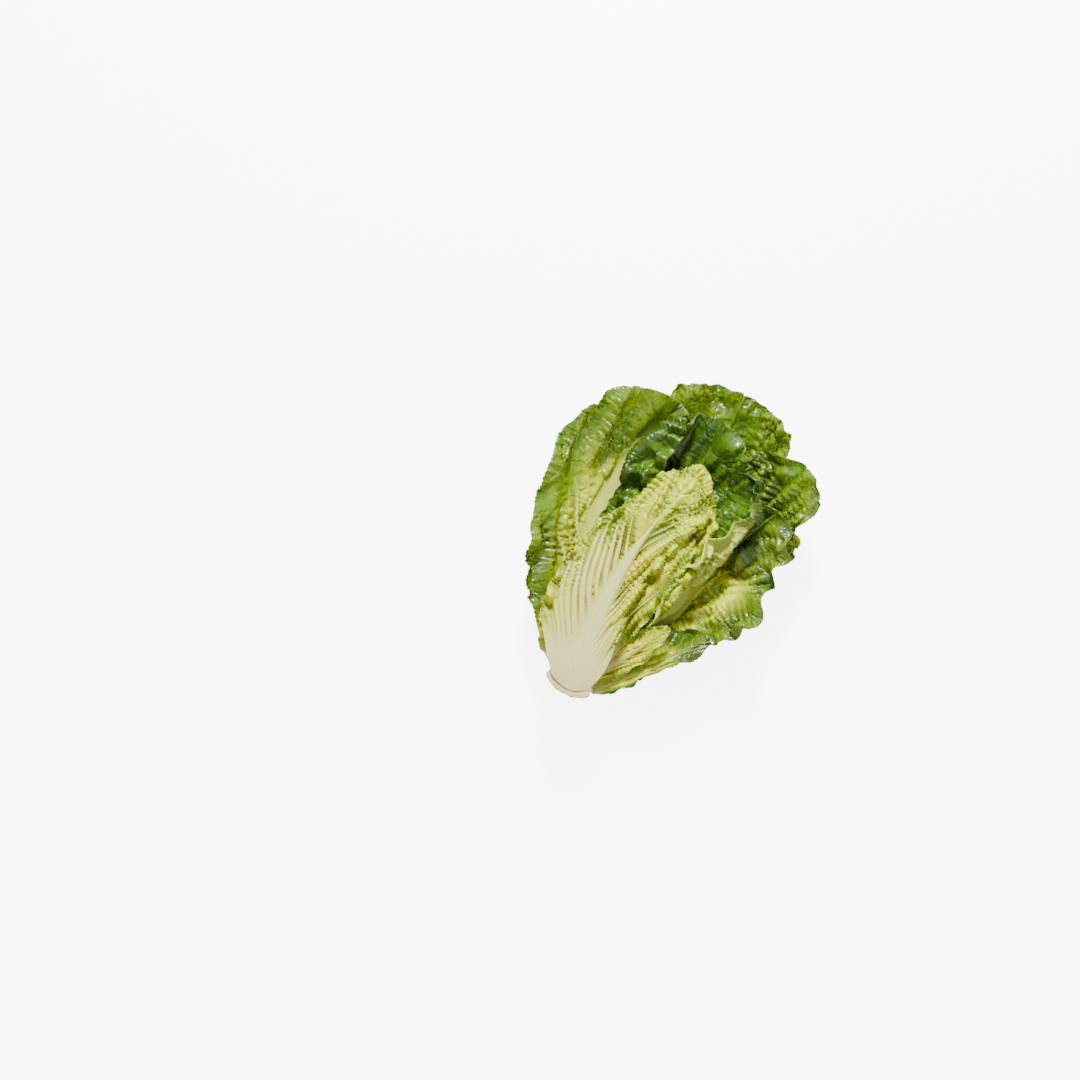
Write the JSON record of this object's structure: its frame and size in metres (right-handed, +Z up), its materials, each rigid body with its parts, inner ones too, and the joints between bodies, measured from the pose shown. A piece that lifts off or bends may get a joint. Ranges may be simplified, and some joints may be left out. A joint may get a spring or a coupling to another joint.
{
  "type": "halved head of romaine lettuce",
  "caption": "Head of romaine lettuce halved lengthwise through its stem, lying on its rounded back with nested leaves opening upward round a pale heart.",
  "frame": {"origin": "on the table, under the middle of the half head's footprint", "axes": "+Y from the cut end of the stem towards the leaf tips, +Z up out of the cut face, +X across the head"},
  "size_m": [0.1748, 0.236, 0.0616],
  "materials": {
    "stem": "moist cream pith with a browned cut end",
    "heart_leaf": "crumpled pale yellow-green leaf with cream ribs",
    "inner_leaf": "yellow-green leaf with pale ribs",
    "middle_leaf": "glossy mid-green leaf with fine yellow veins",
    "outer_leaf": "soft-glossy dark green leaf with pale ribs"
  },
  "bodies": {
    "root": {"stem_core": "stem", "heart_leaf_front": "heart_leaf", "heart_leaf_middle": "heart_leaf", "heart_leaf_back": "heart_leaf", "inner_leaf_low_right": "inner_leaf", "inner_leaf_left": "inner_leaf", "inner_leaf_back": "inner_leaf", "middle_leaf": "middle_leaf", "middle_leaf_under": "middle_leaf", "outer_leaf_low_right": "outer_leaf", "outer_leaf_right": "outer_leaf", "outer_leaf_left": "outer_leaf", "outer_leaf_far_right": "outer_leaf", "outer_leaf_back": "outer_leaf", "outer_leaf_under": "outer_leaf"}
  },
  "joints": []
}
